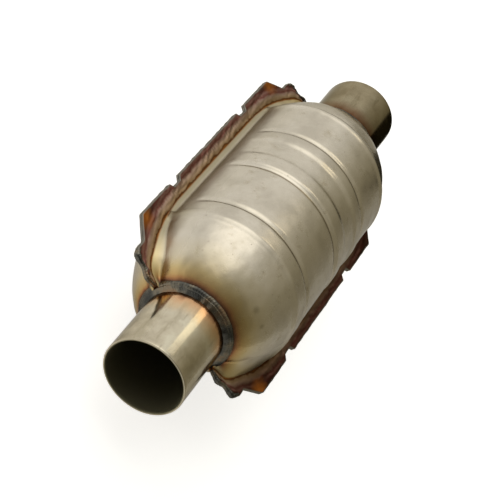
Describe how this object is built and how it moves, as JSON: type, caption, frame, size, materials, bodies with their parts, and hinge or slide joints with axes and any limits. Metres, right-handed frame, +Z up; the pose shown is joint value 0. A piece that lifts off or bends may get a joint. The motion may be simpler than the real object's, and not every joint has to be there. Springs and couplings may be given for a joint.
{
  "type": "catalytic converter",
  "caption": "Round two-shell exhaust catalytic converter with ribbed body, notched side seams and a pipe stub at each end.",
  "frame": {"origin": "middle of the body, on the common axis of the two pipes, in the plane where the half shells meet", "axes": "+X along the pipes' axis from the inlet to the outlet, +Y and -Y towards the two seam flanges, +Z up through the upper half shell"},
  "size_m": [0.3236, 0.13, 0.105],
  "materials": {
    "shell_steel": "satin pressed stainless sheet, heat tinted at the welds",
    "pipe_steel": "bright drawn stainless tube, heat tinted at the weld",
    "weld_metal": "oxidised weld bead",
    "ceramic": "bare fired cordierite honeycomb with washcoat",
    "fibre_mat": "felted ceramic fibre"
  },
  "bodies": {
    "root": {"upper_shell": "shell_steel", "lower_shell": "shell_steel", "inlet_pipe": "pipe_steel", "outlet_pipe": "pipe_steel", "inlet_weld": "weld_metal", "outlet_weld": "weld_metal", "inlet_left_weld": "weld_metal", "inlet_right_weld": "weld_metal", "outlet_left_weld": "weld_metal", "outlet_right_weld": "weld_metal", "front_brick": "ceramic", "rear_brick": "ceramic", "front_mat": "fibre_mat", "rear_mat": "fibre_mat"}
  },
  "joints": []
}
